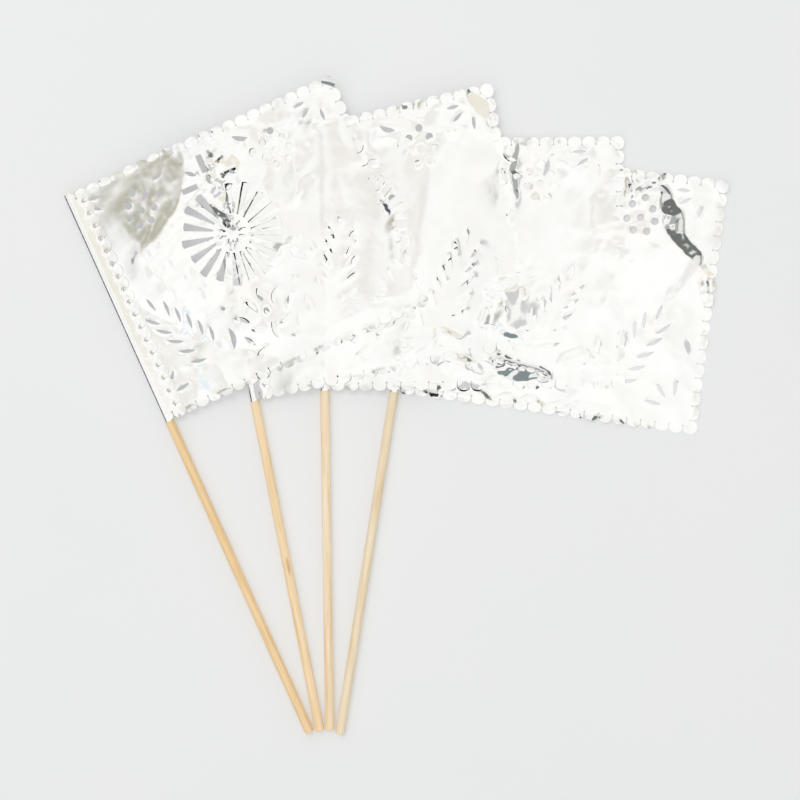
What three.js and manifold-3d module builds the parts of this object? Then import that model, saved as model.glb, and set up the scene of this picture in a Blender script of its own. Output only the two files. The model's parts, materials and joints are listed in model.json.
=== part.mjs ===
// A set of four foil party flags, laid out in a fan on a table.
// Each flag is a round wooden stick, one die-cut foil sheet with a scalloped border, and a strip
// of double-sided tape. The sheet passes under the stick, wraps over it, and its scalloped end is taped
// down on the sheet beside the stick. The first flag lies on top and the fourth one at the bottom,
// so each sheet rises over the sticks and the sheets to its right.
// Millimetres, +Z up. The table is z = 0.
import * as THREE from 'three';
import { mergeVertices } from 'three/addons/utils/BufferGeometryUtils.js';
import Module from 'manifold-3d';

const wasm = await Module();
wasm.setup();

// ---------- driving dimensions ----------
const STICK_DIAMETER = 4.7;
const STICK_LENGTH = 300;
const STICK_SIDES = 40;
const STICK_CHAMFER = 0.4;

const FOIL = 0.2; // sheet thickness
const FIT = 0.1; // clear space between the stick and the foil around it
const SCALLOP = 7.06; // pitch of the scallops, and the diameter of each
const SCALLOP_STEPS = 4; // straight steps on a half circle
const HOIST_SCALLOPS = 18; // along the stick
const FLY = 152; // a square-cut sheet, from the stick's axis to the scallop tips of the far edge
const PATTERN_X = 74; // middle of the cut pattern, from the stick's axis
const FLAP_END = 8; // the taped end's scallop tips, from the stick's axis
const TUBE_SHORT = 1.2; // how far the rolled tube stops short of the scallop tips

const TAPE_WIDTH = 2.6;
const TAPE_THICKNESS = 0.12;

const LAYER = 0.4; // from one sheet to the next one on top of it
const RAMP = 20; // width of the slope where a sheet rises on to the next stick
const FALL = 35; // width of the slope where a sheet comes down past the last stick
const CREST = 3.5; // half width of the level stretch over a stick

const END_PITCH = 5.1; // between the sticks' lower ends
// end: how far the lower end lies along Y. lean: degrees to the left. bare: stick below the foil.
// hoist: foil along the stick. low and high: the sheet's two far corners, across and up from the
// foot of its hoist. No sheet is quite square.
const FLAGS = [
  { end: 0, lean: 24.25, bare: 173.5, hoist: 126.8, low: [145.6, 0], high: [148, 127.4] },
  { end: 0.7, lean: 11.15, bare: 171, hoist: 130, low: [146.5, 1], high: [150, 136] },
  { end: 1.1, lean: 0.85, bare: 172.7, hoist: 128, low: [153.3, -1.2], high: [154.7, 128] },
  { end: -1, lean: -9, bare: 176.2, hoist: 127, low: [155.9, 2.4], high: [152.3, 134] },
];

// ---------- worked out from them ----------
const STICK_RADIUS = STICK_DIAMETER / 2;
const LOBE = SCALLOP / 2;
const HOIST = HOIST_SCALLOPS * SCALLOP;
const TUBE_INNER = STICK_RADIUS + FIT;
const TUBE_OUTER = TUBE_INNER + FOIL;
const AXIS_Z = TUBE_OUTER;
const LAST = FLAGS.length - 1;
const FLAP_Z = FOIL + TAPE_THICKNESS + 0.12; // underside of the taped end
const SHEET_TOP = 2 * TUBE_OUTER + 0.3; // underside of the lowest sheet that crosses a stick

// ---------- closed meshes and manifold solids ----------
function solidOf(geometry) {
  const bare = geometry.index ? geometry.toNonIndexed() : geometry.clone();
  bare.deleteAttribute('normal');
  bare.deleteAttribute('uv');
  const merged = mergeVertices(bare, 1e-4);
  return new wasm.Manifold(
    new wasm.Mesh({
      numProp: 3,
      vertProperties: merged.attributes.position.array,
      triVerts: new Uint32Array(merged.index.array),
    }),
  );
}

function geometryOf(solid) {
  const mesh = solid.getMesh();
  return new THREE.BufferGeometry()
    .setAttribute('position', new THREE.BufferAttribute(mesh.vertProperties, 3))
    .setIndex(new THREE.BufferAttribute(mesh.triVerts, 1));
}

// An upright prism with a plan outline, tall enough to cut any sheet.
function prism(shape) {
  const tall = 20;
  const geometry = new THREE.ExtrudeGeometry(shape, { depth: tall, bevelEnabled: false });
  return solidOf(geometry.translate(0, 0, -tall / 2));
}

// ---------- the scalloped outline ----------
function polar(x, y, radius, angle) {
  return new THREE.Vector2(x + radius * Math.cos(angle), y + radius * Math.sin(angle));
}

// Points of one lobe, from one angle to another, without the last one.
function lobe(x, y, from, to) {
  const steps = Math.round((SCALLOP_STEPS * (to - from)) / Math.PI);
  const step = (to - from) / steps;
  return Array.from({ length: steps }, (_, i) => polar(x, y, LOBE, from + step * i));
}

// A square-cut sheet's outline: lobes along the bottom, up the far edge and back along the top, and
// a plain edge under the stick.
function sheetOutline() {
  const low = LOBE;
  const high = HOIST - LOBE;
  const wide = FLY - LOBE;
  const count = Math.floor((wide - LOBE) / SCALLOP);
  const points = [];
  for (let i = count; i >= 1; i--) {
    points.push(...lobe(wide - i * SCALLOP, low, Math.PI, 2 * Math.PI));
  }
  points.push(...lobe(wide, low, Math.PI, 2.5 * Math.PI));
  for (let i = 1; i < HOIST_SCALLOPS - 1; i++) {
    points.push(...lobe(wide, low + i * SCALLOP, -Math.PI / 2, Math.PI / 2));
  }
  points.push(...lobe(wide, high, -Math.PI / 2, Math.PI));
  for (let i = 1; i <= count; i++) {
    points.push(...lobe(wide - i * SCALLOP, high, 0, Math.PI));
  }
  points.push(new THREE.Vector2(0, high), new THREE.Vector2(0, low));
  return points;
}

// Moves points of a square-cut sheet to where flag k's own corners put them.
function outOfSquare(k, points) {
  const { hoist, low, high } = FLAGS[k];
  return points.map(({ x, y }) => {
    const across = x / FLY;
    const up = y / HOIST;
    const far = new THREE.Vector2(...low).lerp(new THREE.Vector2(...high), up);
    return new THREE.Vector2(across * far.x, up * hoist * (1 - across) + across * far.y);
  });
}

// ---------- the cut pattern: x from its middle, y from the lower scallop tips ----------
function turned(x, y, angle) {
  const [c, s] = [Math.cos(angle), Math.sin(angle)];
  return [x * c - y * s, x * s + y * c];
}

// A hole with corners given along and across a direction.
function hole(x, y, degrees, corners) {
  const angle = THREE.MathUtils.degToRad(degrees);
  return corners.map(([along, across]) => {
    const [dx, dy] = turned(along, across, angle);
    return [x + dx, y + dy];
  });
}

function leaf(x, y, degrees, length, width) {
  const [l, w] = [length / 2, width / 2];
  return hole(x, y, degrees, [[-l, 0], [0, -w], [l, 0], [0, w]]);
}

function bar(x, y, degrees, length, width) {
  const [l, w] = [length / 2, width / 2];
  return hole(x, y, degrees, [[-l, -w], [l, -w], [l, w], [-l, w]]);
}

function wedge(x, y, degrees, inner, outer, width) {
  const [narrow, wide] = [width / 6, width / 2];
  return hole(x, y, degrees, [[inner, -narrow], [outer, -wide], [outer, wide], [inner, narrow]]);
}

function crescent(x, y, degrees, length, width) {
  const l = length / 2;
  return hole(x, y, degrees, [[-l, 0], [0, -width], [l, 0], [0, -width / 4]]);
}

function dot(x, y, diameter) {
  return Array.from({ length: 6 }, (_, i) => polar(x, y, diameter / 2, (i * Math.PI) / 3).toArray());
}

const mirrored = (cut) => cut.map(([x, y]) => [-x, y]).reverse();

function sunburst() {
  const rays = 20;
  const cuts = [];
  for (let i = 0; i < rays; i++) {
    const degrees = (360 * (i + 0.5)) / rays;
    if (Math.abs(degrees - 90) > 20) cuts.push(wedge(0, 73, degrees, 10.5, 24.5, 2.8));
  }
  for (let i = 0; i < 8; i++) {
    const degrees = 45 * i;
    const [x, y] = turned(5, 0, THREE.MathUtils.degToRad(degrees));
    cuts.push(leaf(x, 73 + y, degrees, 4.4, 1.6));
  }
  return cuts;
}

function barsAbove() {
  const upright = [bar(0, 110.5, 90, 9, 3), bar(0, 92.5, 90, 6, 3)];
  return [...upright, bar(8.4, 101, 0, 9, 3), bar(-8.4, 101, 0, 9, 3)];
}

// The right half's cuts; the left half mirrors them.
function sideCuts() {
  const cuts = [];
  const top = [[1.9, 9.4], [-3.6, 5.6], [6.6, 4.2], [-9.6, 3.6]];
  const rest = [[0.2, -0.2], [8.4, -2.2], [-6.2, -2.4], [-2.6, -8], [4.2, -8]];
  for (const [x, y] of [...top, ...rest]) cuts.push(dot(41 + x, 102.5 + y, 3.8));
  cuts.push(hole(27.5, 115, -12, [[-5, 0.6], [4, -2.6], [3.4, 1]]));
  // frond: leaves in pairs up a slanting stem, and one at its tip
  const pairs = 5;
  const stem = { x: 34, y: 24, dx: 16, dy: 32 };
  const slope = THREE.MathUtils.radToDeg(Math.atan2(stem.dy, stem.dx));
  for (let i = 0; i < pairs; i++) {
    const share = i / (pairs - 1);
    for (const side of [-1, 1]) {
      const [x, y] = turned(0, side * 5.6, THREE.MathUtils.degToRad(slope));
      const [rootX, rootY] = [stem.x + stem.dx * share, stem.y + stem.dy * share];
      cuts.push(leaf(rootX + x, rootY + y, slope + side * 36, 9, 2.5));
    }
  }
  cuts.push(leaf(stem.x + stem.dx * 1.24, stem.y + stem.dy * 1.24, slope, 9, 2.5));
  // three leaves that point to each corner
  for (const [corner, way] of [[121, 1], [15, -1]]) {
    for (const degrees of [0, 45, 90]) {
      const [x, y] = turned(-9, 0, THREE.MathUtils.degToRad(degrees * way));
      cuts.push(leaf(71 + x, corner + y, degrees * way, 8.5, 2.4));
    }
  }
  // petals of the flower at the bottom
  cuts.push(crescent(19.5, 26, 96, 11, 2.4), crescent(12.5, 34, 140, 9, 2.2));
  cuts.push(crescent(10.8, 21, 80, 9, 2.2));
  cuts.push(dot(25.5, 17, 2.6), dot(22, 11.5, 2.2));
  return cuts;
}

function patternCuts() {
  const side = sideCuts();
  const lowPetals = [leaf(5, 18, 60, 7, 2), leaf(-5, 18, 120, 7, 2)];
  const flower = [leaf(0, 27, 90, 11, 3.2), ...lowPetals, dot(0, 11.5, 3)];
  return [...sunburst(), ...barsAbove(), ...flower, ...side, ...side.map(mirrored)];
}

const CUTS = patternCuts();

// ---------- the sheet's folded surface ----------
// Where stick j's axis, moved sideways by offset, crosses flag k's own line at height v.
function acrossAt(k, j, offset, v) {
  const own = FLAGS[k];
  const other = FLAGS[j];
  const lean = THREE.MathUtils.degToRad(own.lean);
  const turn = THREE.MathUtils.degToRad(own.lean - other.lean);
  const dx = (j - k) * END_PITCH;
  const dy = other.end - own.end;
  // the other stick's lower end in this flag's axes
  const x0 = dx * Math.cos(lean) + dy * Math.sin(lean);
  const y0 = -dx * Math.sin(lean) + dy * Math.cos(lean) - own.bare;
  return x0 + (v - y0) * Math.tan(turn) + offset / Math.cos(turn);
}

// Fold lines of flag k's sheet, left to right: { z, at(v) } where at gives the place across.
function foldLines(k) {
  const far = FLY + 40;
  if (k === LAST) return [{ z: 0, at: () => 0 }, { z: 0, at: () => far }];
  const stack = LAST - 1 - k; // sheets between this one and the one that lies over the last stick first
  const roof = SHEET_TOP + stack * LAYER;
  const low = (stack + 1) * LAYER;
  return [
    { z: 0, at: () => 0 },
    { z: 0, at: (v) => acrossAt(k, k + 1, -CREST - RAMP, v) },
    { z: roof, at: (v) => acrossAt(k, k + 1, -CREST, v) },
    { z: roof, at: (v) => acrossAt(k, LAST, CREST, v) },
    { z: low, at: (v) => acrossAt(k, LAST, CREST + FALL, v) },
    { z: low, at: (v) => acrossAt(k, LAST, CREST + FALL, v) + far },
  ];
}

// A slab of the sheet's thickness that follows the fold lines, larger than the sheet.
function foldedSlab(k) {
  const lines = foldLines(k);
  const ends = [-15, HOIST + 20];
  const corner = (line, v, up) => [line.at(v), v, line.z + up];
  const triangles = [];
  const quad = (a, b, c, d) => triangles.push(a, b, c, a, c, d);
  for (let i = 0; i + 1 < lines.length; i++) {
    const [p, q] = [lines[i], lines[i + 1]];
    const [v0, v1] = ends;
    quad(corner(p, v0, FOIL), corner(q, v0, FOIL), corner(q, v1, FOIL), corner(p, v1, FOIL));
    quad(corner(p, v0, 0), corner(p, v1, 0), corner(q, v1, 0), corner(q, v0, 0));
    quad(corner(p, v0, 0), corner(q, v0, 0), corner(q, v0, FOIL), corner(p, v0, FOIL));
    quad(corner(p, v1, 0), corner(p, v1, FOIL), corner(q, v1, FOIL), corner(q, v1, 0));
  }
  const rim = [[ends[0], 0], [ends[0], FOIL], [ends[1], FOIL], [ends[1], 0]];
  const side = (line) => rim.map(([v, up]) => corner(line, v, up));
  quad(...side(lines[0]));
  quad(...side(lines[lines.length - 1]).reverse());
  const geometry = new THREE.BufferGeometry();
  geometry.setAttribute('position', new THREE.Float32BufferAttribute(triangles.flat(), 3));
  return solidOf(geometry);
}

// The part of the sheet that wraps over the stick and comes down on the sheet beside it.
function wrap() {
  const landing = FLAP_END - SCALLOP / 2;
  const slope = (radius, z) => {
    const dx = landing;
    const dz = z - AXIS_Z;
    return Math.atan2(dz, dx) + Math.acos(radius / Math.hypot(dx, dz));
  };
  const top = FLAP_Z + FOIL;
  const profile = new THREE.Shape();
  profile.moveTo(1.5, 0);
  profile.lineTo(0, 0);
  profile.absarc(0, AXIS_Z, TUBE_OUTER, -Math.PI / 2, slope(TUBE_OUTER, top), true);
  profile.lineTo(landing + 0.1, top);
  profile.lineTo(FLAP_END + 1, top);
  profile.lineTo(FLAP_END + 1, FLAP_Z);
  profile.lineTo(landing, FLAP_Z);
  profile.absarc(0, AXIS_Z, TUBE_INNER, slope(TUBE_INNER, FLAP_Z), -Math.PI / 2, false);
  profile.lineTo(0, FOIL);
  profile.lineTo(1.5, FOIL);
  const long = HOIST - 2 * TUBE_SHORT;
  const settings = { depth: long, bevelEnabled: false, curveSegments: 14 };
  const geometry = new THREE.ExtrudeGeometry(profile, settings);
  // the profile's plane becomes X and Z, and its length runs along Y
  geometry.rotateX(Math.PI / 2).translate(0, HOIST - TUBE_SHORT, 0);
  return solidOf(geometry);
}

// Plan outline of the wrapped part, with the scallops of its taped edge.
function wrapShape() {
  const edge = FLAP_END - LOBE;
  const points = [new THREE.Vector2(-TUBE_OUTER - 1, 0), new THREE.Vector2(1.5, 0)];
  for (let i = 0; i < HOIST_SCALLOPS; i++) {
    const first = i === 0 ? -Math.PI : -Math.PI / 2;
    const last = i === HOIST_SCALLOPS - 1 ? Math.PI : Math.PI / 2;
    points.push(...lobe(edge, LOBE + i * SCALLOP, first, last));
  }
  points.push(new THREE.Vector2(1.5, HOIST), new THREE.Vector2(-TUBE_OUTER - 1, HOIST));
  return new THREE.Shape(points);
}

const WRAP = wrap().intersect(prism(wrapShape()));

// ---------- materials ----------
const wood = new THREE.MeshStandardMaterial({ color: 0xe9cfa0, roughness: 0.75, metalness: 0 });
const silver = new THREE.MeshStandardMaterial({ color: 0xe6e6e2, roughness: 0.15, metalness: 1 });
const tape = new THREE.MeshStandardMaterial({ color: 0xf2efe4, roughness: 0.6, metalness: 0 });

function named(name, geometry, material) {
  const mesh = new THREE.Mesh(geometry, material);
  mesh.name = name;
  return mesh;
}

// ---------- sub-parts, each along +Y from the stick's lower end ----------
function stickMesh(k) {
  const half = STICK_LENGTH / 2;
  const profile = [
    [0, -half],
    [STICK_RADIUS - STICK_CHAMFER, -half],
    [STICK_RADIUS, -half + STICK_CHAMFER],
    [STICK_RADIUS, half - STICK_CHAMFER],
    [STICK_RADIUS - STICK_CHAMFER, half],
    [0, half],
  ].map(([r, y]) => new THREE.Vector2(r, y));
  const mesh = named(`flag_${k + 1}_stick`, new THREE.LatheGeometry(profile, STICK_SIDES), wood);
  mesh.position.set(0, half, AXIS_Z);
  return mesh;
}

function foilMesh(k) {
  const { bare, hoist } = FLAGS[k];
  const cutter = (points) => prism(new THREE.Shape(outOfSquare(k, points)));
  let field = foldedSlab(k).intersect(cutter(sheetOutline()));
  for (const cut of CUTS) {
    const points = cut.map(([x, y]) => new THREE.Vector2(PATTERN_X + x, y));
    const clearOfFlap = points.every((p) => p.x > FLAP_END + 2);
    if (clearOfFlap) field = field.subtract(cutter(points));
  }
  const stretched = WRAP.scale([1, hoist / HOIST, 1]);
  const mesh = named(`flag_${k + 1}_foil`, geometryOf(field.add(stretched)), silver);
  mesh.position.y = bare;
  return mesh;
}

function tapeMesh(k) {
  const middle = FLAP_END - LOBE + TAPE_WIDTH / 2;
  const { bare, hoist } = FLAGS[k];
  const geometry = new THREE.BoxGeometry(TAPE_WIDTH, hoist - 4 * LOBE, TAPE_THICKNESS);
  const mesh = named(`flag_${k + 1}_tape`, geometry, tape);
  mesh.position.set(middle, bare + hoist / 2, (FOIL + FLAP_Z) / 2);
  return mesh;
}

// ---------- the fan ----------
const fan = new THREE.Group();
FLAGS.forEach((flag, k) => {
  const group = new THREE.Group();
  group.add(stickMesh(k), foilMesh(k), tapeMesh(k));
  group.rotation.z = THREE.MathUtils.degToRad(flag.lean);
  group.position.set((k - LAST / 2) * END_PITCH, flag.end, 0);
  fan.add(group);
});

// The origin is the middle of the layout's box, on the table.
const set = new THREE.Group();
set.add(fan);
set.updateMatrixWorld(true);
const centre = new THREE.Box3().setFromObject(fan, true).getCenter(new THREE.Vector3());
fan.position.set(-centre.x, -centre.y, 0);

export default set;
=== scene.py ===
"""Foil party flags: four die-cut mirror-foil sheets on wooden sticks, laid on each other in a fan.

The sticks are the frame's own pieces, and get their finish here. The foils and the tape are made
here in place of the frame's plainer ones. Each foil is made as one flat sheet with its border and
its cuts, and is then laid where it belongs: under its stick, round it, down on itself beside it,
and over the sticks and sheets that it lies on. The tape follows the foil that it holds.
"""

import json
import math

import bpy
import numpy as np
from bpy.props import FloatProperty, FloatVectorProperty, PointerProperty
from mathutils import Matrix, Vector
from mathutils.geometry import delaunay_2d_cdt
from mathutils.kdtree import KDTree


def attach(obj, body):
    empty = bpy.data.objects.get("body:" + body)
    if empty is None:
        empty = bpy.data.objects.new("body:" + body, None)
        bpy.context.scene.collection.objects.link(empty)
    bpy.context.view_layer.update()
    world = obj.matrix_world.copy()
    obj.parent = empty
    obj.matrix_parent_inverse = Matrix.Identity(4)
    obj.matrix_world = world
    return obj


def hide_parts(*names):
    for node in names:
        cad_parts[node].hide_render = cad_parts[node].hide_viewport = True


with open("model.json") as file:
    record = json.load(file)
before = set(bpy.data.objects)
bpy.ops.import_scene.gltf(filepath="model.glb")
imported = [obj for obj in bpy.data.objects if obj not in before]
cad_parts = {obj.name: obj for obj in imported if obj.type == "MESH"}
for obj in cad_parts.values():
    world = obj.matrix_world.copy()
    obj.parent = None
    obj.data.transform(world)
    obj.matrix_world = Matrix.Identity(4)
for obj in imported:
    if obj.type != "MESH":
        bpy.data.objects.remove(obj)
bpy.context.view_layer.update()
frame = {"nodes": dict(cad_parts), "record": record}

bl_info = {
    "name": "Foil party flags",
    "version": (1, 0, 0),
    "blender": (4, 5, 0),
    "location": "View3D > Sidebar > Foil flags",
    "description": "Lays die-cut foil flags on wooden sticks in a fan and finishes them",
    "category": "Object",
}

MM = 0.001
COUNT = 4  # flags, counted from the left one, which lies on top
LAST = COUNT - 1

# ---------- sizes in millimetres, as the frame has them ----------
STICK_RADIUS = 2.35
TUBE_RADIUS = 2.55  # middle of the foil that is rolled round the stick
AXIS_HEIGHT = 2.65  # the stick's axis over the table
SCALLOP = 7.06  # from one scallop of the border to the next
HOIST_SCALLOPS = 18
HOIST = HOIST_SCALLOPS * SCALLOP  # height of the flat sheet, along its stick
FLY = 152  # width of the flat sheet, from the stick's axis to the far edge
PATTERN = np.array([71.0, 0.0])  # middle of the cut pattern's foot
LANDING = 5.4  # where the folded end meets the sheet again, from the stick's axis
FLAP_END = 8.3  # the lowest flag's scallop tips on the folded end, from its stick's axis
# bare: stick below the foil. hoist: foil along the stick. low and high: the far corners, across and
# up from the foot of the hoist. No sheet is quite square.
SHEETS = (
    {"bare": 173.5, "hoist": 126.8, "low": (145.6, 0.0), "high": (148.0, 127.4)},
    {"bare": 171.0, "hoist": 130.0, "low": (146.5, 1.0), "high": (150.0, 136.0)},
    {"bare": 172.7, "hoist": 128.0, "low": (153.3, -1.2), "high": (154.7, 128.0)},
    {"bare": 176.2, "hoist": 127.0, "low": (155.9, 2.4), "high": (152.3, 134.0)},
)

# ---------- how the sheets lie, in millimetres ----------
LAYER = 0.35  # from one sheet to the next one on it
TOP = 5.65  # middle of the lowest sheet that crosses a stick
SAG = 0.9  # how far a sheet hangs between two sticks
REST = 0.12  # middle of the lowest sheet over the table
STUCK = 0.22  # from a sheet to its folded end, with the tape between them
JOIN = (3.9, 3.9, 3.7, 0.12)  # height of each sheet where its folded end meets it
FALL = (70, 62, 66)  # how far past the last stick each upper sheet comes down
LOBE = 2.6  # how far each scallop's round end reaches past the slits beside it
SLIT = 0.9  # length of the slit between two scallops
NOTCH = 0.14  # half width of that slit
KEYHOLE = 0.48  # radius of its round end
RIM_HEIGHT, RIM_WIDTH = 0.42, 0.5  # raised rims round those ends, on the folded end
LIP_HEIGHT, LIP_WIDTH = 0.16, 0.6  # edges of the cuts, where they stand up
FACET, FINE_FACET = 13, 5.5  # from one handling crease to the next
WAVE, WAVE_HEIGHT = 46, 0.35  # slow waves of the whole sheet
CREASE_FROM, CREASE_OVER = 6, 16  # where creases and waves start beside the stick, and grow
FOLD_FROM, FOLD_OVER = 2, 24  # the same for the folds
DRIFT, FINE_DRIFT = 2.6, 0.7  # how far folds wander from their paths
TAPE_FROM, TAPE_WIDTH, TAPE_THICKNESS = 5.5, 2.0, 0.1
TAPE_MARGIN = 5  # from the ends of the hoist to the tape
TAPE_ROWS, TAPE_COLUMNS = 60, 4
GRID = 1.3  # spacing of the sheet's inner points


def linear(hex_colour):
    """An sRGB hex colour as linear red, green, blue and alpha."""
    parts = [int(hex_colour[i : i + 2], 16) / 255 for i in (0, 2, 4)]
    low = [c / 12.92 if c <= 0.04045 else ((c + 0.055) / 1.055) ** 2.4 for c in parts]
    return (*low, 1.0)


def smooth(x):
    """0 below 0, 1 above 1, and an even slope between."""
    x = np.clip(x, 0, 1)
    return x * x * (3 - 2 * x)


# ---------- where the flags lie ----------
class Flag:
    """One flag's axes on the table, in millimetres, from its stick's foot."""

    def __init__(self, number):
        name = f"flag_{number + 1}_stick_foot"
        foot = next(m for m in frame["record"]["mounts"] if m["name"] == name)
        self.number = number
        self.body = f"flag_{number + 1}"
        self.foot = np.array(foot["pos_m"][:2]) / MM
        self.up = -np.array(foot["axis"][:2])
        self.fly = np.array([self.up[1], -self.up[0]])
        self.bare = SHEETS[number]["bare"]
        self.hoist = SHEETS[number]["hoist"]
        self.low = np.array(SHEETS[number]["low"])
        self.high = np.array(SHEETS[number]["high"])

    def table(self, local):
        """Points of this sheet, across and up from the foot of its hoist, on the table's axes."""
        up = self.bare + local[:, 1:2]
        return self.foot + local[:, 0:1] * self.fly + up * self.up

    def local(self, points):
        """Points on the table's axes, across and up from the foot of this sheet's hoist."""
        off = points - self.foot
        return np.stack([off @ self.fly, off @ self.up - self.bare], 1)

    def out_of_square(self, flat):
        """Moves points of a square-cut sheet to where its own corners put them."""
        across = flat[:, 0:1] / FLY
        up = flat[:, 1:2] / HOIST
        far = self.low + (self.high - self.low) * up
        y = up * self.hoist * (1 - across) + across * far[:, 1:2]
        return np.concatenate([across * far[:, 0:1], y], 1)


FLAGS = [Flag(k) for k in range(COUNT)]


# ---------- the cut pattern, on the flat sheet ----------
# x is from the pattern's middle and y from the lower scallop tips, in millimetres.
def rotated(points, degrees):
    a = math.radians(degrees)
    turn = np.array([[math.cos(a), math.sin(a)], [-math.sin(a), math.cos(a)]])
    return np.asarray(points, float) @ turn


def leaf(x, y, degrees, length, width, bend=0.0):
    """A pointed leaf. bend curves its middle line to one side."""
    t = np.linspace(0, 1, 9)
    across = np.sin(np.pi * t) ** 0.85 * width / 2
    middle = bend * 4 * t * (1 - t)
    along = (t - 0.5) * length
    lower = np.stack([along, middle - across], 1)
    upper = np.stack([along, middle + across], 1)[::-1]
    return rotated(np.concatenate([lower, upper[1:-1]]), degrees) + (x, y)


def dot(x, y, diameter, tall=1.0):
    a = np.linspace(0, 2 * np.pi, 13)[:-1]
    return np.stack([np.cos(a), np.sin(a) * tall], 1) * diameter / 2 + (x, y)


def wedge(x, y, degrees, inner, outer, width):
    """A slit that widens away from its centre to a blunt outer end."""
    narrow, half = width * 0.12, width / 2
    end = [(outer - 0.5, -half), (outer, 0), (outer - 0.5, half)]
    return rotated([(inner, -narrow), *end, (inner, narrow)], degrees) + (x, y)


def bar(x, y, degrees, length, width):
    """A straight bar, a little wider in the middle."""
    l, w = length / 2, width / 2
    lower = [(-l, -w), (0, -w * 1.1), (l, -w)]
    upper = [(l, w), (0, w * 1.1), (-l, w)]
    return rotated(lower + upper, degrees) + (x, y)


def mirrored(cut):
    return (cut * (-1, 1))[::-1]


BURST = 74.0  # height of the sunburst's middle
RAYS, PETALS = 18, 10


def sunburst():
    """Slits that widen outwards, round a small ring of petals."""
    cuts = []
    for i in range(RAYS):
        degrees = 360 * (i + 0.5) / RAYS
        # the topmost one is left out, below the crown's leaf
        if abs(degrees - 90) > 12:
            cuts.append(wedge(0, BURST, degrees, 10, 27 - 1.5 * (i % 2), 4.2))
    for i in range(PETALS):
        degrees = 360 * i / PETALS
        x, y = rotated([(5.4, 0)], degrees)[0]
        cuts.append(leaf(x, BURST + y, degrees, 4.6, 1.5))
    return cuts


def crown():
    """Short bars over the sunburst."""
    cuts = [bar(0, 112, 90, 9.5, 3.0), leaf(0, 103.5, 90, 5.5, 2.6)]
    half = [bar(10.9, 102.5, 0, 8.6, 2.7), leaf(7.5, 109.5, 40, 6.5, 2.2)]
    return cuts + half + [mirrored(c) for c in half]


def berries():
    """A loose bunch of round holes, with a curved leaf beside it."""
    spots = [(1, 10), (5.5, 4.8), (-5, 6.2), (-11.6, 4), (0, 0)]
    spots += [(7.4, -1.2), (-6.7, -1.3), (-2.7, -6.6), (4, -6.6)]
    cuts = [dot(38.5 + x, 103.5 + y, 3.8) for x, y in spots]
    cuts.append(leaf(23.5, 117, 153, 8.5, 2.6, bend=0.9))
    return cuts


def frond():
    """Slim leaves in pairs up a slanting stem: the inner ones upright, the outer ones lower."""
    cuts = [leaf(54.5, 58, 76, 8.2, 1.8)]
    for i in range(5):
        cuts.append(leaf(31.5 + 4.1 * i, 32 + 5.3 * i, 97 - 1.5 * i, 8.6, 1.8, bend=0.35))
        cuts.append(leaf(43.5 + 3.5 * i, 22.5 + 6.9 * i, 12 + 7 * i, 9.2, 1.8, bend=-0.45))
    return cuts


def corner_sprays():
    """Three leaves that point into each corner of the sheet."""
    high = [(68.3, 119.8, 9.8, degrees, 6.6, 1.8) for degrees in (2, 34, 88)]
    low = [(67, 12, 10, degrees, 8.4, 1.9) for degrees in (-7, -50, -93)]
    cuts = []
    for corner_x, corner_y, away, degrees, length, width in high + low:
        x, y = rotated([(-away, 0)], degrees)[0] + (corner_x, corner_y)
        cuts.append(leaf(x, y, degrees, length, width))
    return cuts


def flower():
    """The flower at the foot of the pattern: a bud, and petals on each side."""
    cuts = [leaf(0, 40, 90, 7.5, 3.4), dot(0, 31, 3.0, 1.3), leaf(0, 20.5, 90, 9, 3)]
    half = [
        leaf(7, 36, 62, 9, 2.4, bend=0.8),
        leaf(14, 31, 40, 10, 2.4, bend=1.0),
        leaf(7.5, 24, 20, 9, 2.0, bend=-0.7),
        leaf(14.5, 20.5, 58, 7, 2.0),
        leaf(23, 25.5, 100, 11.5, 2.9, bend=1.2),
        leaf(10.5, 13.5, -18, 8, 2.0),
        dot(20.5, 41, 2.2),
    ]
    return cuts + half + [mirrored(c) for c in half]


def pattern_cuts():
    side = berries() + frond() + corner_sprays()
    cuts = sunburst() + crown() + flower() + side + [mirrored(c) for c in side]
    return [c + PATTERN for c in cuts]


# ---------- the flat sheet ----------
def wrap_profile(join):
    """Middle of the foil round the stick, from under the axis to where the folded end lands.

    Points are across and over the table, and come with their distance along the foil."""
    end = join + STUCK
    reach = math.hypot(LANDING, AXIS_HEIGHT - end)
    leave = math.atan2(end - AXIS_HEIGHT, LANDING) + math.acos(TUBE_RADIUS / reach)
    turn = np.linspace(-math.pi / 2, leave - 2 * math.pi, 40)
    x = np.append(np.cos(turn) * TUBE_RADIUS, LANDING)
    z = np.append(AXIS_HEIGHT + np.sin(turn) * TUBE_RADIUS, end)
    run = np.concatenate([[0], np.cumsum(np.hypot(np.diff(x), np.diff(z)))])
    return x, z, run


WRAP = wrap_profile(REST)[2][-1] + FLAP_END - LANDING
SHEET_WIDTH = FLY + WRAP


def arc(centre, first, second, radius, angles):
    """Points round a centre, from one direction towards a second one across it."""
    return [centre + (first * math.cos(a) + second * math.sin(a)) * radius for a in angles]


def oval(middle, forward, inward, half_width, angles):
    """A scallop's round end: half an oval from one slit to the next, through the edge's line."""
    return [
        middle + inward * LOBE - forward * half_width * math.cos(a) - inward * LOBE * math.sin(a)
        for a in angles
    ]


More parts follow.
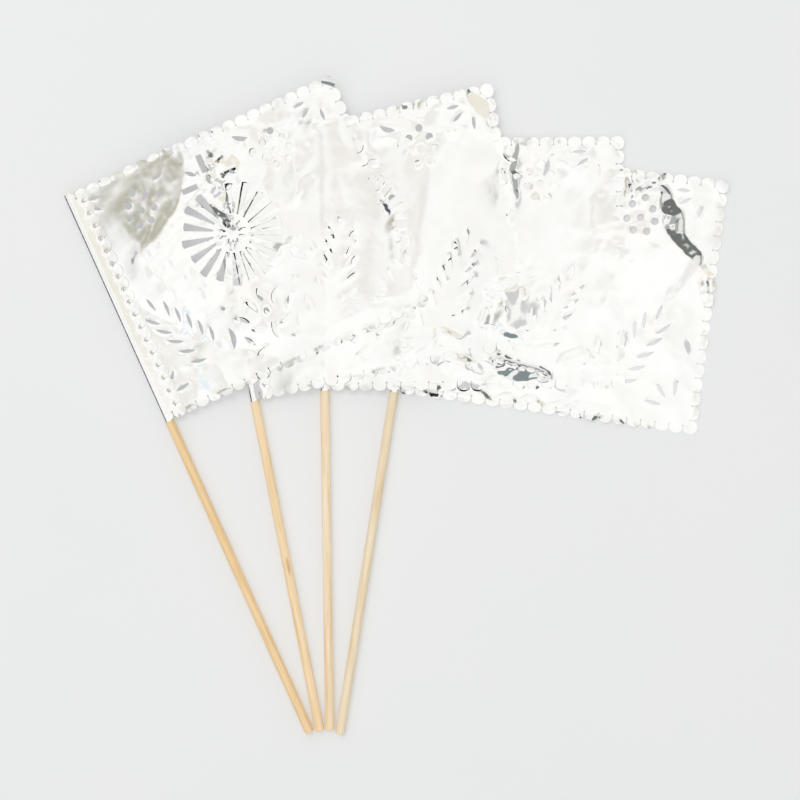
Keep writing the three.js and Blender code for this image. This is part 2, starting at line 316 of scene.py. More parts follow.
def scalloped_outline():
    """The flat sheet's edge, anticlockwise: round lobes, with a keyhole slit between each two."""
    across = round(SHEET_WIDTH / SCALLOP)
    sides = (
        ((-WRAP, 0), (FLY, 0), across),
        ((FLY, 0), (FLY, HOIST), HOIST_SCALLOPS),
        ((FLY, HOIST), (-WRAP, HOIST), across),
        ((-WRAP, HOIST), (-WRAP, 0), HOIST_SCALLOPS),
    )
    lobe = np.linspace(0, math.pi, 9)
    corner = np.radians((22.5, 45, 67.5))
    hole = np.linspace(0.4, 2 * math.pi - 0.4, 7)
    points = []
    for start, end, lobes in sides:
        start, end = np.array(start, float), np.array(end, float)
        pitch = np.linalg.norm(end - start) / lobes
        forward = (end - start) / (lobes * pitch)
        inward = np.array([-forward[1], forward[0]])
        for i in range(lobes):
            middle = start + forward * pitch * (i + 0.5)
            angles = lobe[4:] if i == 0 else lobe[:5] if i == lobes - 1 else lobe
            points += oval(middle, forward, inward, pitch / 2 - NOTCH, angles)
            if i < lobes - 1:
                root = start + forward * pitch * (i + 1) + inward * (LOBE + SLIT + KEYHOLE)
                points += arc(root, -inward, -forward, KEYHOLE, hole)
        # the corner's own round lobe, shared with the next side
        points += arc(middle + inward * pitch / 2, -inward, forward, pitch / 2, corner)
    return np.array(points)


def inside(points, polygon):
    """Which of the points lie inside a closed polygon."""
    x, y = points[:, 0], points[:, 1]
    hit = np.zeros(len(points), bool)
    for (x0, y0), (x1, y1) in zip(polygon, np.roll(polygon, -1, 0)):
        if y0 != y1:
            crosses = (y0 > y) != (y1 > y)
            hit ^= crosses & (x < x0 + (y - y0) * (x1 - x0) / (y1 - y0))
    return hit


def tree_of(points):
    tree = KDTree(len(points))
    for i, (x, y) in enumerate(points):
        tree.insert((x, y, 0), i)
    tree.balance()
    return tree


def nearest(points, tree):
    """How far each point is from the tree's nearest one."""
    return np.array([tree.find((x, y, 0))[2] for x, y in points])


def inner_points(outline, cuts, rng):
    """A loose triangular grid inside the sheet, finer where it bends round the stick."""
    grids = []
    for left, right, step in ((-WRAP, 1, GRID / 2), (1, FLY, GRID)):
        rows = np.arange(0, HOIST, step * 0.866)
        columns = np.arange(left, right, step)
        x, y = np.meshgrid(columns, rows)
        x = x + (np.arange(len(rows)) % 2)[:, None] * step / 2
        grids.append(np.stack([x.ravel(), y.ravel()], 1))
    points = np.concatenate(grids)
    points = points + rng.uniform(-0.15, 0.15, points.shape)
    points = points[inside(points, outline)]
    edge = tree_of(np.concatenate([outline, *cuts]))
    return points[nearest(points, edge) > GRID * 0.42]


def flat_sheet():
    """The whole sheet before it is laid: its flat points, its triangles and its cuts."""
    rng = np.random.default_rng(4)
    outline = scalloped_outline()
    cuts = pattern_cuts()
    loops = [outline, *cuts]
    points = np.concatenate([*loops, inner_points(outline, cuts, rng)])
    edges, first = [], 0
    for loop in loops:
        edges += [(first + i, first + (i + 1) % len(loop)) for i in range(len(loop))]
        first += len(loop)
    made = delaunay_2d_cdt([Vector(p) for p in points], edges, [], 0, 1e-5)
    flat = np.array([v[:] for v in made[0]])
    triangles = np.array([f[:] for f in made[2]])
    middle = flat[triangles].mean(1)
    keep = inside(middle, outline)
    for cut in cuts:
        near = keep & (middle > cut.min(0)).all(1) & (middle < cut.max(0)).all(1)
        chosen = np.nonzero(near)[0]
        keep[chosen] &= ~inside(middle[chosen], cut)
    triangles = triangles[keep]
    used, triangles = np.unique(triangles, return_inverse=True)
    return flat[used], triangles.reshape(-1, 3), cuts


# ---------- how a sheet lies ----------
def past_stick(flag, points):
    """How far points on the table are past a flag's stick, towards its foil."""
    return (points - flag.foot) @ flag.fly


def span_height(k, points):
    """Middle of sheet k over the sticks that it crosses, before folds and the sheets under it."""
    if k == LAST:
        return np.full(len(points), REST)
    top = TOP + (LAST - 1 - k) * LAYER
    own = past_stick(FLAGS[k], points)
    gaps = [past_stick(FLAGS[j], points) for j in range(k + 1, COUNT)]
    beside = np.clip((own - LANDING) / np.maximum(own - LANDING - gaps[0], 1), 0, 1)
    rise = 0.7 * beside + 0.3 * smooth(beside)
    z = JOIN[k] + (top - JOIN[k]) * rise
    for a, b in zip(gaps, gaps[1:]):
        share = np.clip(a / np.maximum(a - b, 1), 0, 1)
        z = np.where(a > 0, top - SAG * 4 * share * (1 - share), z)
    low = REST + (LAST - k) * LAYER
    down = np.clip(gaps[-1] / FALL[k], 0, 1)
    slope = 0.35 * down + 0.65 * smooth(down)
    return np.where(gaps[-1] > 0, top - (top - low) * slope, z)


def soft_span(k, points, reach=1.6):
    """span_height with its bends over the sticks rounded off."""
    steps = np.linspace(-reach, reach, 5)
    return sum(span_height(k, points + (s, 0)) for s in steps) / len(steps)


class Fold:
    """A crease along a path on a sheet: a ridge, or a dent if its height is below zero.

    The sheet falls away from it over its own distance on each side, left and right as seen along
    the path, and its sides are straight if it is flat. It fades in and out over a share of the path
    at each end. The left side of a lens-shaped fold is narrow at the path's ends."""

    def __init__(self, path, height, left, right, fade=0.25, lens=False, flat=False):
        self.path = np.array(path, float)
        self.height, self.left, self.right = height, left, right
        self.fade, self.lens, self.flat = fade, lens, flat

    def cover(self, local):
        """How much of the fold's height each point has, from 0 to 1."""
        best = np.full(len(local), 1e9)
        side, place = np.zeros(len(local)), np.zeros(len(local))
        lengths = np.linalg.norm(np.diff(self.path, axis=0), axis=1)
        whole, before = lengths.sum(), 0.0
        for a, b, length in zip(self.path, self.path[1:], lengths):
            d = (b - a) / length
            off = local - a
            t = np.clip(off @ d, 0, length)
            away = off - t[:, None] * d
            distance = np.linalg.norm(away, axis=1)
            closer = distance < best
            best = np.where(closer, distance, best)
            side = np.where(closer, d[0] * off[:, 1] - d[1] * off[:, 0], side)
            place = np.where(closer, (before + t) / whole, place)
            before += length
        width = np.where(side > 0, self.left, self.right)
        if self.lens:
            slim = 0.3 + 0.7 * np.sin(np.pi * np.clip(place, 0, 1)) ** 0.8
            width = np.where(side > 0, width * slim, width)
        away = np.sqrt(best**2 + 0.16) - 0.4
        tent = np.clip(1 - away / width, 0, 1)
        if not self.flat:
            tent = tent * (0.6 + 0.4 * tent)
        ends = smooth(place / self.fade) * smooth((1 - place) / self.fade)
        return tent * (0.1 + 0.9 * ends)


# The folds of each sheet, in millimetres across and up from the foot of its hoist.
FOLDS = (
    (
        Fold(
            [(1, 69), (19, 80), (42, 90), (54, 102), (65, 122), (70, 134)],
            5.4, 44, 44, fade=0.22,
        ),
        Fold([(14, 76), (30, 92), (40, 108), (46, 124)], 0.35, 6, 3),
        Fold([(52, 24), (60, 40), (58, 60)], 0.7, 7, 9),
        Fold([(100, 70), (112, 88), (118, 110)], 0.6, 14, 10),
        Fold([(20, 40), (42, 22), (60, 12)], -0.6, 16, 12),
        Fold([(78, 52), (88, 58), (98, 54), (102, 44)], 1.0, 4, 4),
        Fold([(56, 96), (66, 84), (70, 74)], 1.2, 3, 5),
    ),
    (
        Fold([(90, 84), (86, 68), (84, 50)], 0.9, 4, 5),
        Fold([(134, 136), (138, 122), (142, 114), (147, 107)], 0.7, 14, 8, fade=0.1, flat=True),
        Fold([(112, 40), (126, 32), (140, 30)], -1.0, 10, 8),
        Fold([(118, 14), (128, 24), (138, 22)], 0.9, 7, 6),
        Fold([(70, 8), (96, 14), (118, 10)], 0.8, 5, 6),
        Fold([(96, 132), (110, 130), (124, 134)], 1.0, 4, 4),
    ),
    (
        Fold([(116, 3), (106, 8), (96, 11), (84, 16)], 3.0, 7, 4, fade=0.15, lens=True),
        Fold([(98, 129), (97, 112), (97, 92)], 0.7, 3, 6),
        Fold([(122, 128), (114, 114), (108, 104)], 0.5, 4, 5),
        Fold([(60, 14), (80, 8), (92, 10)], 0.8, 5, 5),
        Fold([(88, 56), (94, 42), (92, 24)], 2.0, 27, 8, flat=True),
        Fold([(112, 60), (126, 70), (140, 66)], -0.5, 14, 12),
        Fold([(118, 12), (132, 16), (146, 10)], 0.7, 5, 5),
    ),
    (
        Fold(
            [(119, 128), (120, 114), (123, 105), (128, 98), (136, 92), (144, 88)],
            3.1, 9.2, 36, fade=0.14, lens=True, flat=True,
        ),
        Fold([(148, 84), (150, 74), (152, 66)], 1.0, 4, 3),
        Fold([(20, 5), (50, 4), (80, 4), (118, 8)], 0.8, 4, 4),
        Fold([(120, 60), (134, 48), (148, 44)], 0.4, 14, 16),
        Fold([(100, 130), (104, 120), (110, 128), (122, 131)], 1.8, 3, 3),
    ),
)


def crumple(local, cell, seed):
    """Facets between creases: 0 in the facets' middles, and up to about 1 on the creases."""
    rng = np.random.default_rng(seed)
    # the facets cover the sheet and a margin round it
    count = int(190 * 160 / cell**2)
    centres = rng.uniform((-30, -25), (185, 155), (count, 2))
    tree = KDTree(count)
    for i, (x, y) in enumerate(centres):
        tree.insert((x, y, 0), i)
    tree.balance()
    return np.array([tree.find((x, y, 0))[2] for x, y in local]) / cell


def swell(local, length, seed):
    """Slow waves in a few directions, between about -1 and 1."""
    rng = np.random.default_rng(seed)
    z = np.zeros(len(local))
    for _ in range(5):
        a, phase = rng.uniform(0, 2 * math.pi, 2)
        k = 2 * math.pi / (length * rng.uniform(0.7, 1.6))
        z += np.sin(local @ (math.cos(a) * k, math.sin(a) * k) + phase)
    return z / 5


def sheet_height(k, points):
    """Middle of sheet k over the table, in millimetres, with its folds and what it lies on."""
    flag = FLAGS[k]
    local = flag.local(points)
    u, v = local[:, 0], local[:, 1]
    settings = bpy.context.scene.foil_flags
    # the creases are strongest along the edges, and most of all along the top one
    edge = np.minimum(np.minimum(v, flag.hoist - v), FLY - u)
    top_edge = np.exp(-np.clip(flag.hoist + 3 - v, 0, 99) / 9)
    rough = 0.35 + 0.65 * np.exp(-np.clip(edge, 0, 99) / 14) + 0.7 * top_edge
    patchy = smooth(0.5 + 0.8 * swell(local, 60, 40 + k))
    z = soft_span(k, points)
    # folds wander a little from their paths
    drift = np.stack([swell(local, 15, 50 + k), swell(local, 15, 60 + k)], 1) * DRIFT
    drift += np.stack([swell(local, 5, 55 + k), swell(local, 5, 65 + k)], 1) * FINE_DRIFT
    folds = sum(fold.height * fold.cover(local + drift) for fold in FOLDS[k])
    z = z + folds * smooth((u - FOLD_FROM) / FOLD_OVER)
    # the highest fold stretches the sheet beside it smooth
    tallest = max(FOLDS[k], key=lambda fold: fold.height)
    free = smooth((u - CREASE_FROM) / CREASE_OVER)
    free = free * (1 - 0.8 * smooth(tallest.cover(local + drift) * 3))
    fine = crumple(local, FINE_FACET, 20 + k) * 0.3 * patchy
    wrinkle = crumple(local, FACET, 10 + k) * 0.9 + fine
    waves = WAVE_HEIGHT * swell(local, WAVE, 30 + k)
    z = z + (wrinkle * rough * settings.crinkle / MM + waves) * free
    z = np.maximum(z, 0.08 + 0.05 * wrinkle)
    if k < LAST:
        # it stays over the next sheet, wherever that one reaches
        under = sheet_height(k + 1, points)
        x, y = FLAGS[k + 1].local(points).T
        margin = np.minimum(np.minimum(y, FLAGS[k + 1].hoist + 4 - y), x + 3)
        margin = np.minimum(margin, FLY + 2 - x)
        floor = under * smooth(margin / 4 + 1) + LAYER
        z = (z + floor + np.sqrt((z - floor) ** 2 + 0.04)) / 2
    return z


# Corners that roll up: a point on the roll's line, the way it rolls, and its radius.
CURLS = (
    (((138, 122), (0.6, 0.8), 11.0), ((141, 6), (0.8, -0.6), 20.0)),
    (((142, 130), (0.75, 0.66), 26.0),),
    (((146, 124), (0.8, 0.6), 20.0),),
    (((143, 128), (0.64, 0.77), 12.0),),
)


def curled(local, z, curls):
    """Rolls the sheet up past each curl's line, round its radius."""
    for point, way, radius in curls:
        way = np.array(way) / np.linalg.norm(way)
        past = np.clip((local - point) @ way, 0, radius * 1.2)
        local = local + way * (radius * np.sin(past / radius) - past)[:, None]
        z = z + radius * (1 - np.cos(past / radius))
    return local, z


def laid(flag, flat, cut_distance):
    """The sheet's points where they lie, in millimetres on the table's axes."""
    k = flag.number
    rng = np.random.default_rng(70 + k)
    round_stick = flat[:, 0] < 0
    run = np.where(round_stick, -flat[:, 0], 0)
    local = flag.out_of_square(np.maximum(flat, (0, -99)))
    wrap_x, wrap_z, wrap_run = wrap_profile(JOIN[k])
    landing = wrap_run[-1]
    across = np.interp(run, wrap_run, wrap_x) + np.maximum(run - landing, 0)
    local[:, 0] = np.where(round_stick, across, local[:, 0])
    z = sheet_height(k, flag.table(local))
    # under the stick the sheet lies on the table, and its folded end follows it where they meet
    from_stick = smooth(local[:, 0] / LANDING)
    # the slits' round ends have a small raised rim on the folded end
    beside = np.abs(flat[:, 1] - np.round(flat[:, 1] / SCALLOP) * SCALLOP)
    from_root = np.hypot(flat[:, 0] + WRAP - LOBE - SLIT - KEYHOLE, beside)
    rim = RIM_HEIGHT * np.exp(-np.clip(from_root - KEYHOLE, 0, 99) / RIM_WIDTH)
    over = np.where(run > landing, z + STUCK, np.interp(run, wrap_run, wrap_z)) + rim
    z = np.where(round_stick, over, REST + (z - REST) * from_stick)
    # the cut edges stand up a little here and there, and each lobe of the border bends its own way
    lip = LIP_HEIGHT * np.exp(-cut_distance / LIP_WIDTH) * (~round_stick)
    lip = lip * smooth(0.5 + swell(flat, 9, 90 + k))
    border = np.minimum(np.minimum(flat[:, 1], HOIST - flat[:, 1]), FLY - flat[:, 0])
    lobe = np.floor((flat[:, 0] + flat[:, 1] + WRAP) / SCALLOP).astype(int)
    bend = (rng.uniform(-0.08, 0.18, 80) + rng.uniform(0, 1.1, 80) ** 7)[lobe % 80]
    z = z + lip + bend * smooth(1 - border / (LOBE + SLIT)) * smooth((flat[:, 0] - 8) / 6)
    local, z = curled(local, z, CURLS[k])
    place = flag.table(local)
    return np.stack([place[:, 0], place[:, 1], np.maximum(z, 0.06)], 1)


def tape_strip(flag):
    """The strip between a sheet and its folded end: a long thin box that follows the sheet."""
    rows = np.linspace(TAPE_MARGIN, flag.hoist - TAPE_MARGIN, TAPE_ROWS)
    across = np.linspace(TAPE_FROM, TAPE_FROM + TAPE_WIDTH, TAPE_COLUMNS)
    x, y = np.meshgrid(across, rows)
    local = np.stack([x.ravel(), y.ravel()], 1)
    place = flag.table(local)
    z = sheet_height(flag.number, place) + STUCK / 2
    half = TAPE_THICKNESS / 2
    top = np.stack([place[:, 0], place[:, 1], z + half], 1)
    bottom = top - (0, 0, 2 * half)
    wide, tall, count = len(across), len(rows), len(local)
    faces = []
    for j in range(tall - 1):
        for i in range(wide - 1):
            a = j * wide + i
            faces.append((a, a + 1, a + wide + 1, a + wide))
            faces.append((a + count, a + wide + count, a + wide + 1 + count, a + 1 + count))
    rim = [*range(wide), *range(2 * wide - 1, count, wide)]
    rim += [*range(count - 2, count - wide - 1, -1), *range(count - 2 * wide, 0, -wide)]
    for a, b in zip(rim, rim[1:] + rim[:1]):
        faces.append((b, a, a + count, b + count))
    return np.concatenate([top, bottom]), faces


def deselect():
    for obj in bpy.context.selected_objects:
        obj.select_set(False)


def add_object(name, points, faces):
    mesh = bpy.data.meshes.new(name)
    mesh.from_pydata([tuple(p) for p in points], [], [tuple(int(i) for i in f) for f in faces])
    mesh.update()
    obj = bpy.data.objects.new(name, mesh)
    bpy.context.scene.collection.objects.link(obj)
    return obj


def apply_modifier(obj, name):
    deselect()
    bpy.context.view_layer.objects.active = obj
    obj.select_set(True)
    bpy.ops.object.modifier_apply(modifier=name)
    obj.select_set(False)


# ---------- materials ----------
def add_node(tree, kind, values=None, links=None, stops=(), **settings):
    """A new node with its settings, its input values, and links into its inputs.

    The stops are a colour ramp's places and hex colours."""
    node = tree.nodes.new(kind)
    for key, value in settings.items():
        setattr(node, key, value)
    for i, (place, colour) in enumerate(stops):
        if i >= len(node.color_ramp.elements):
            node.color_ramp.elements.new(place)
        node.color_ramp.elements[i].position = place
        node.color_ramp.elements[i].color = linear(colour)
    for key, value in (values or {}).items():
        node.inputs[key].default_value = value
    for key, socket in (links or {}).items():
        tree.links.new(socket, node.inputs[key])
    return node


def new_material(name):
    material = bpy.data.materials.new(name)
    material.use_nodes = True
    material.node_tree.nodes.clear()
    return material, material.node_tree


def finish_material(tree, shader):
    add_node(tree, "ShaderNodeOutputMaterial", links={"Surface": shader.outputs[0]})


def spot(tree, source, centre, size, inner, most=1.0):
    """A soft-edged oval mask: its most inside, and 0 outside the given centre and half sizes."""
    place = add_node(
        tree,
        "ShaderNodeMapping",
        {"Location": centre, "Scale": size},
        {"Vector": source},
        vector_type="TEXTURE",
    )
    reach = add_node(
        tree,
        "ShaderNodeVectorMath",
        links={0: place.outputs["Vector"]},
        operation="LENGTH",
    )
    mask = add_node(
        tree,
        "ShaderNodeMapRange",
        {"From Min": inner, "From Max": 1.0, "To Min": most, "To Max": 0.0},
        {"Value": reach.outputs["Value"]},
        interpolation_type="SMOOTHSTEP",
    )
    return mask.outputs["Result"]


def mirror_foil(number):
    """Metallised film: bright silver, almost a mirror, with a faint grain from its plastic base."""
    material, tree = new_material(f"mirror_foil_{number + 1}")
    place = add_node(tree, "ShaderNodeTexCoord")
    # soft dents 11 mm across, and the film's own waviness of 4 mm, in metres of flat sheet
    dents = add_node(
        tree,
        "ShaderNodeTexNoise",
        {"Scale": 1 / 0.011, "Detail": 2.0},
        {"Vector": place.outputs["UV"]},
    )
    grain = add_node(
        tree,
        "ShaderNodeTexNoise",
        {"Scale": 1 / 0.004, "Detail": 3.0, "Roughness": 0.5, "Distortion": 0.4},
        {"Vector": place.outputs["UV"]},
    )
    # handling leaves patches of a slightly duller, warmer surface about 30 mm across
    patches = add_node(
        tree,
        "ShaderNodeTexNoise",
        {"Scale": 1 / 0.03, "Detail": 2.0},
        {"Vector": place.outputs["UV"]},
    )
    tint = add_node(
        tree,
        "ShaderNodeValToRGB",
        links={"Fac": patches.outputs["Fac"]},
        stops=((0.3, "F8F8F8"), (0.5, "F6F6F5"), (0.7, "F9F8F5")),
    )
    dull = add_node(
        tree,
        "ShaderNodeMapRange",
        {"From Min": 0.3, "From Max": 0.75, "To Min": 0.05, "To Max": 0.13},
        {"Value": patches.outputs["Fac"]},
    )
    bump = add_node(
        tree,
        "ShaderNodeBump",
        {"Strength": 0.16, "Distance": 0.0004},
        {"Height": dents.outputs["Fac"]},
    )
    fine = add_node(
        tree,
        "ShaderNodeBump",
        {"Strength": 0.2, "Distance": 0.00012},
        {"Height": grain.outputs["Fac"], "Normal": bump.outputs["Normal"]},
    )
    shader = add_node(
        tree,
        "ShaderNodeBsdfPrincipled",
        {"Metallic": 1.0},
        {
            "Base Color": tint.outputs["Color"],
            "Roughness": dull.outputs["Result"],
            "Normal": fine.outputs["Normal"],
        },
    )
    finish_material(tree, shader)
    return material


# A colour Mix node's sockets by their places: its share, its two colours, and its result.
MIX_SHARE, MIX_FIRST, MIX_SECOND, MIXED = 0, 6, 7, 2

# Bare birch, one shade to each stick, and the one with a knot: how far that is up it, in metres.
BIRCH = ("FBDFB4", "FFE8C4", "FFEFD6", "F8E9D0")
KNOTTY, KNOT_AT = 1, 85.5 * MM


def birch_dowel(flag, knot_at=None):
    """Turned birch, sanded and left bare: pale, with fine straight grain along the stick."""
    material, tree = new_material(f"birch_dowel_{flag.number + 1}")
    coords = add_node(tree, "ShaderNodeTexCoord")
    lean = math.atan2(-flag.up[0], flag.up[1])
    # the stick's own axes: its foot at the origin and its length along Y
    place = add_node(
        tree,
        "ShaderNodeMapping",
        {"Location": (*(flag.foot * MM), AXIS_HEIGHT * MM), "Rotation": (0, 0, lean)},
        {"Vector": coords.outputs["Object"]},
        vector_type="TEXTURE",
    )
    stretched = add_node(
        tree,
        "ShaderNodeMapping",
        {"Location": (flag.number * 0.37, flag.number * 0.71, 0), "Scale": (1, 0.035, 1)},
        {"Vector": place.outputs["Vector"]},
    )
    # fibres about 1 mm wide, drawn a little coarser than birch has them so that they show
    fibres = add_node(
        tree,
        "ShaderNodeTexNoise",
        {"Scale": 1 / 0.0011, "Detail": 5.0, "Roughness": 0.6, "Distortion": 0.15},
        {"Vector": stretched.outputs["Vector"]},
    )
    bands = add_node(
        tree,
        "ShaderNodeTexNoise",
        {"Scale": 1 / 0.0045, "Detail": 2.0, "Roughness": 0.5},
        {"Vector": stretched.outputs["Vector"]},
    )
    streaks = add_node(
        tree,
        "ShaderNodeValToRGB",
        links={"Fac": fibres.outputs["Fac"]},
        stops=((0.25, "E9DAC2"), (0.45, "F8F2E8"), (0.6, "FFFFFF"), (0.8, "F3EADB")),
    )
    warm = add_node(
        tree,
        "ShaderNodeValToRGB",
        links={"Fac": bands.outputs["Fac"]},
        stops=((0.3, "FAF4EB"), (0.55, "FFFFFF"), (0.75, "F7EFE2")),
    )
    grain = add_node(
        tree,
        "ShaderNodeMix",
        {MIX_SHARE: 0.8},
        {MIX_FIRST: streaks.outputs["Color"], MIX_SECOND: warm.outputs["Color"]},
        data_type="RGBA",
        blend_type="MULTIPLY",
    )
    tint = (*bpy.context.scene.foil_flags.wood_tint, 1)
    shade = [a * b for a, b in zip(linear(BIRCH[flag.number]), tint)]
    colour = add_node(
        tree,
        "ShaderNodeMix",
        {MIX_SHARE: 1.0, MIX_SECOND: shade},
        {MIX_FIRST: grain.outputs[MIXED]},
        data_type="RGBA",
        blend_type="MULTIPLY",
    )
    if knot_at is not None:
        # a thin brown pin knot, drawn out along the grain
        centre = (0.7 * MM, knot_at, STICK_RADIUS * MM)
        size = (0.9 * MM, 6.2 * MM, 1.9 * MM)
        mask = spot(tree, place.outputs["Vector"], centre, size, 0.45, most=0.55)
        colour = add_node(
            tree,
            "ShaderNodeMix",
            {MIX_SECOND: linear("B8865A")},
            {MIX_SHARE: mask, MIX_FIRST: colour.outputs[MIXED]},
            data_type="RGBA",
        )
    bump = add_node(
        tree,
        "ShaderNodeBump",
        {"Strength": 0.3, "Distance": 0.0001},
        {"Height": fibres.outputs["Fac"]},
    )
    shader = add_node(
        tree,
        "ShaderNodeBsdfPrincipled",
        {"Roughness": 0.62, "IOR": 1.5, "Specular IOR Level": 0.35},
        {"Base Color": colour.outputs[MIXED], "Normal": bump.outputs["Normal"]},
    )
    finish_material(tree, shader)
    return material


def tissue_tape():
    """Double-sided tissue tape: milky and slightly fibrous, with a dull sheen."""
    material, tree = new_material("tissue_tape")
    coords = add_node(tree, "ShaderNodeTexCoord")
    fibres = add_node(
        tree,
        "ShaderNodeTexNoise",
        {"Scale": 1 / 0.0009, "Detail": 3.0, "Distortion": 1.2},
        {"Vector": coords.outputs["Object"]},
    )
    colour = add_node(
        tree,
        "ShaderNodeValToRGB",
        links={"Fac": fibres.outputs["Fac"]},
        stops=((0.3, "E4E0D4"), (0.7, "F4F1E8")),
    )
    bump = add_node(
        tree,
        "ShaderNodeBump",
        {"Strength": 0.2, "Distance": 0.00005},
        {"Height": fibres.outputs["Fac"]},
    )
    shader = add_node(
        tree,
        "ShaderNodeBsdfPrincipled",
        {"Roughness": 0.5, "IOR": 1.48},
        {"Base Color": colour.outputs["Color"], "Normal": bump.outputs["Normal"]},
    )
    finish_material(tree, shader)
    return material


def glowing_pale_table():
    """A pale table with a painted glow that lifts the shade under and between the sheets: even,
    with the faintest mottle.
    """
    material, tree = new_material("glowing_pale_table")
    coords = add_node(tree, "ShaderNodeTexCoord")
    mottle = add_node(
        tree,
        "ShaderNodeTexNoise",
        {"Scale": 1 / 0.12, "Detail": 2.0},
        {"Vector": coords.outputs["Object"]},
    )
    colour = add_node(
        tree,
        "ShaderNodeValToRGB",
        links={"Fac": mottle.outputs["Fac"]},
        stops=((0.3, "C6C7C7"), (0.7, "C8C8C8")),
    )
    # the emission is painted light: a glow that makes the shade under the sheets and in their cuts
    # pale, and the base colour is kept darker to make up for it
    shader = add_node(
        tree,
        "ShaderNodeBsdfPrincipled",
        {
            "Roughness": 0.85,
            "Specular IOR Level": 0.2,
            "Emission Color": linear("F3F4F6"),
            "Emission Strength": 0.31,
        },
        {"Base Color": colour.outputs["Color"]},
    )
    finish_material(tree, shader)
    return material


def give(obj, material):
    obj.data.materials.clear()
    obj.data.materials.append(material)


# The panels hung in the white tent, which the foil's folds mirror: each one's direction, its half
# sizes round that direction, the share of them that is even in colour, and its colour. A later one
# hangs in front of those before it.
PANELS = (
    ((-0.46, 0.32, 0.84), (0.42, 0.50, 0.7), 0.05, "B3B1A4"),
    ((-0.97, 0.00, 0.20), (0.35, 0.80, 0.42), 0.75, "5A5666"),
    ((0.62, 0.06, 0.78), (0.22, 0.24, 0.4), 0.7, "A9ABA7"),
    ((0.56, 0.44, 0.66), (0.32, 0.28, 0.6), 0.72, "6C706E"),
    ((0.28, 0.26, 0.93), (0.12, 0.12, 0.3), 0.5, "E6E2D6"),
    ((0.05, -0.68, 0.72), (0.34, 0.13, 0.4), 0.85, "7F8A8D"),
    ((0.337, 0.08, 0.94), (0.06, 0.09, 0.3), 0.85, "C6C8C8"),
    ((-0.17, -0.12, 0.98), (0.04, 0.05, 0.3), 0.85, "DDE8EC"),
    ((-0.01, 0.11, 0.99), (0.14, 0.10, 0.4), 0.05, "E4E2DD"),
    ((-0.24, -0.05, 0.97), (0.07, 0.06, 0.3), 0.3, "E6E4DE"),
)


# ---------- what a user would change ----------
class FoilFlagSettings(bpy.types.PropertyGroup):
    foil_thickness: FloatProperty(
        name="Foil thickness",
        description="Thickness of the metallised sheet",
        default=0.08 * MM,
        min=0.02 * MM,
        max=0.3 * MM,
        unit="LENGTH",
    )
    crinkle: FloatProperty(
        name="Crinkle height",
        description="How far the handling creases stand out of the sheet at its edges",
        default=0.55 * MM,
        min=0,
        max=2 * MM,
        unit="LENGTH",
    )
    wood_tint: FloatVectorProperty(
        name="Wood tint",
        description="Colour that the bare wood is multiplied by",
        default=(1.0, 1.0, 1.0),
        min=0,
        max=1,
        size=3,
        subtype="COLOR",
    )
    camera_height: FloatProperty(
        name="Camera height",
        description="How high the camera is over the table",
        default=0.965,
        min=0.3,
        max=3,
        unit="LENGTH",
    )
    camera_offset: FloatVectorProperty(
        name="Camera offset",
        description="Where the camera is over the table, from the middle of the flags",
        default=(0.0017, 0.0030),
        size=2,
        subtype="XYZ",
        unit="LENGTH",
    )


# ---------- operators ----------
class FOILFLAGS_OT_sticks(bpy.types.Operator):
    """Give the sticks their bare birch finish"""

    bl_idname = "foilflags.sticks"
    bl_label = "Finish the sticks"

    def execute(self, context):
        for flag in FLAGS:
            knot = KNOT_AT if flag.number == KNOTTY else None
            give(frame["nodes"][f"{flag.body}_stick"], birch_dowel(flag, knot))
        return {"FINISHED"}


class FOILFLAGS_OT_tape(bpy.types.Operator):
    """Lay the tape that holds each sheet's folded end down"""

    bl_idname = "foilflags.tape"
    bl_label = "Lay the tape"

    def execute(self, context):
        material = tissue_tape()
        for flag in FLAGS:
            points, faces = tape_strip(flag)
            obj = add_object(f"{flag.body}_laid_tape", points * MM, faces)
            give(obj, material)
            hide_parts(f"{flag.body}_tape")
            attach(obj, flag.body)
        return {"FINISHED"}


class FOILFLAGS_OT_sheets(bpy.types.Operator):
    """Cut the foil sheets, fold them round their sticks and lay them in the fan"""

    bl_idname = "foilflags.sheets"
    bl_label = "Lay the foil sheets"

    def execute(self, context):
        settings = context.scene.foil_flags
        flat, triangles, cuts = flat_sheet()
        cut_distance = nearest(flat, tree_of(np.concatenate(cuts)))
        for flag in FLAGS:
            points = laid(flag, flat, cut_distance) * MM
            obj = add_object(f"{flag.body}_cut_foil", points, triangles)
            layer = obj.data.uv_layers.new(name="flat")
            corners = np.zeros(len(obj.data.loops), int)
            obj.data.loops.foreach_get("vertex_index", corners)
            layer.data.foreach_set("uv", (flat[corners] * MM).ravel())
            obj.data.shade_smooth()
            give(obj, mirror_foil(flag.number))
            solid = obj.modifiers.new("thickness", "SOLIDIFY")
            solid.thickness = settings.foil_thickness
            solid.offset = 0
            solid.use_even_offset = False
            apply_modifier(obj, "thickness")
            obj.select_set(True)
            bpy.ops.object.shade_smooth_by_angle(angle=math.radians(50))
            obj.select_set(False)
            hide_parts(f"{flag.body}_foil")
            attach(obj, flag.body)
        return {"FINISHED"}


